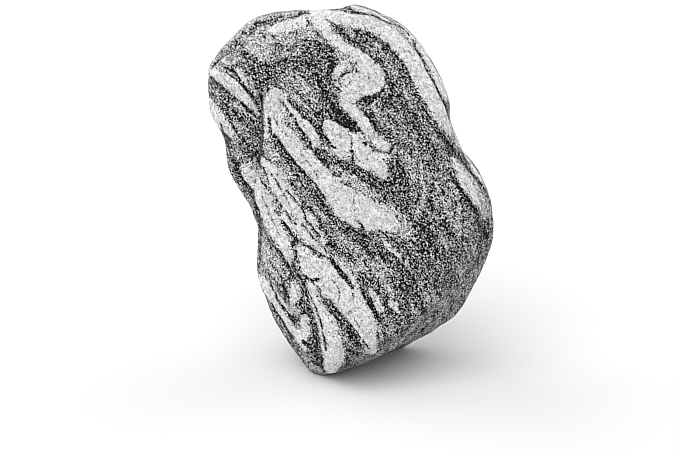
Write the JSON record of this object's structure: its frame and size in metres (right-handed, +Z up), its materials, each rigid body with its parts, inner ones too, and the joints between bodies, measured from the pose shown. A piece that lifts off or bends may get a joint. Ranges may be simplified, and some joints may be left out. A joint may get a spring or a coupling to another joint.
{
  "type": "banded gneiss aquascape stone",
  "caption": "Tall water-worn boulder of black and white banded gneiss with a ledge down its front, standing on a flat patch.",
  "frame": {"origin": "middle of the stone's box, on the surface that it stands on", "axes": "+Z up, -Y the broad banded face with the ledge, +X to the right of that face"},
  "size_m": [0.1828, 0.1298, 0.2396],
  "materials": {
    "gneiss": "matt, water-worn, salt-and-pepper grain with white bands"
  },
  "bodies": {
    "root": {"stone": "gneiss"}
  },
  "joints": []
}
